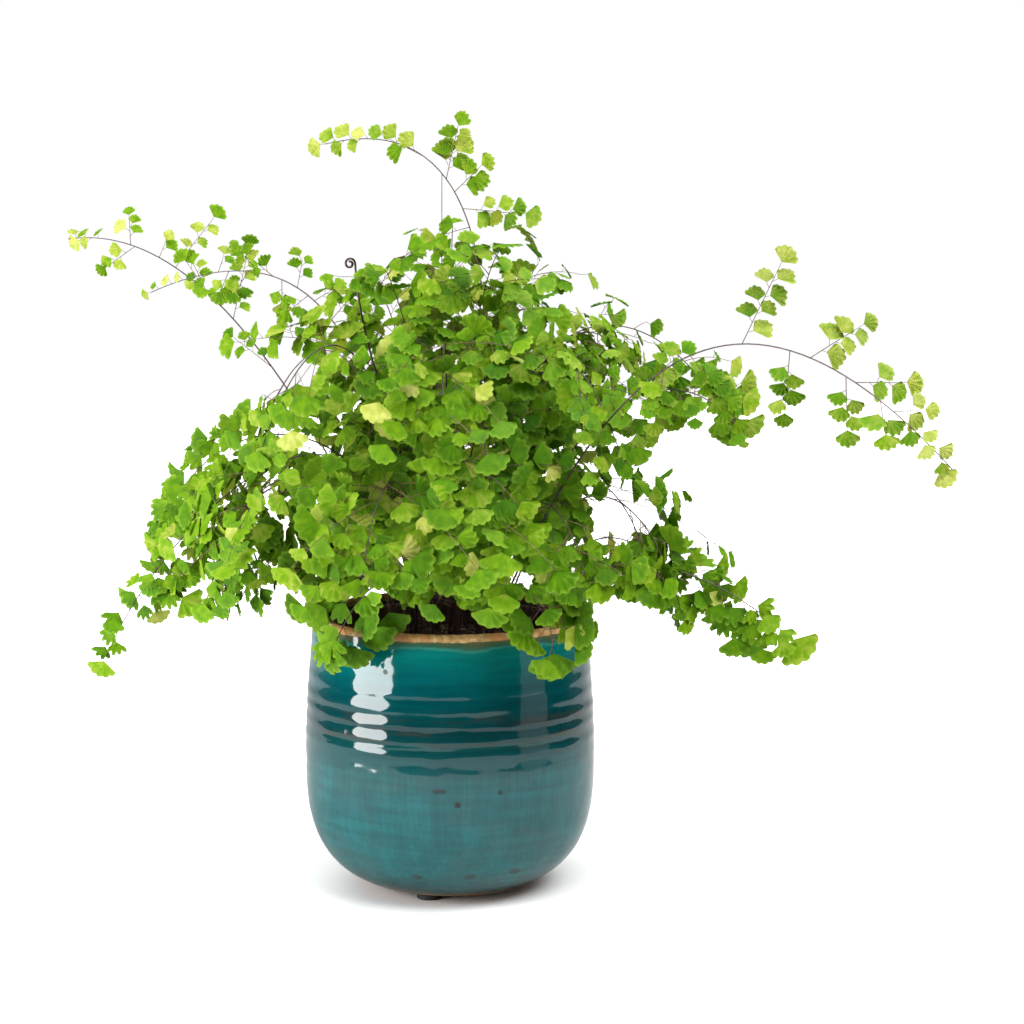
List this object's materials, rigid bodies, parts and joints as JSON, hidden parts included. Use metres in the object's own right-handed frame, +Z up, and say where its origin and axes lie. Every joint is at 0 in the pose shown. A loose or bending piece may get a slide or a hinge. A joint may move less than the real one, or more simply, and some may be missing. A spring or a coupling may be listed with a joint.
{
  "type": "potted maidenhair fern",
  "caption": "Maidenhair fern in a round teal glazed pot with a bare clay lip on rubber pads: wiry dark stems rise from the soil and carry small fan-shaped leaflets.",
  "frame": {"origin": "on the pot's axis, on the surface that the three pads stand on", "axes": "+Z up along the pot's axis, -Y towards the picture's viewer, +X to the viewer's right"},
  "size_m": [0.4257, 0.3932, 0.3745],
  "materials": {
    "glaze": "glossy",
    "pad_rubber": "matte",
    "nursery_plastic": "matte",
    "soil": "matte",
    "foliage": "satin"
  },
  "bodies": {
    "root": {"pot": "glaze", "foot_pad_1": "pad_rubber", "foot_pad_2": "pad_rubber", "foot_pad_3": "pad_rubber", "grow_pot": "nursery_plastic", "soil": "soil", "crozier": "foliage", "frond_front_centre": "foliage", "frond_front_left": "foliage", "frond_front_right": "foliage", "frond_inner_1": "foliage", "frond_inner_2": "foliage", "frond_inner_3": "foliage", "frond_inner_4": "foliage", "frond_inner_5": "foliage", "frond_left_arch": "foliage", "frond_left_low": "foliage", "frond_left_second": "foliage", "frond_low_1": "foliage", "frond_low_2": "foliage", "frond_low_3": "foliage", "frond_low_4": "foliage", "frond_middle_1": "foliage", "frond_middle_2": "foliage", "frond_middle_3": "foliage", "frond_middle_4": "foliage", "frond_middle_5": "foliage", "frond_middle_6": "foliage", "frond_middle_7": "foliage", "frond_outer_1": "foliage", "frond_outer_2": "foliage", "frond_outer_3": "foliage", "frond_outer_4": "foliage", "frond_outer_5": "foliage", "frond_outer_6": "foliage", "frond_outer_7": "foliage", "frond_outer_8": "foliage", "frond_right_droop": "foliage", "frond_right_high": "foliage", "frond_right_long": "foliage", "frond_right_low": "foliage", "frond_top": "foliage", "frond_upper_left": "foliage"}
  },
  "joints": []
}
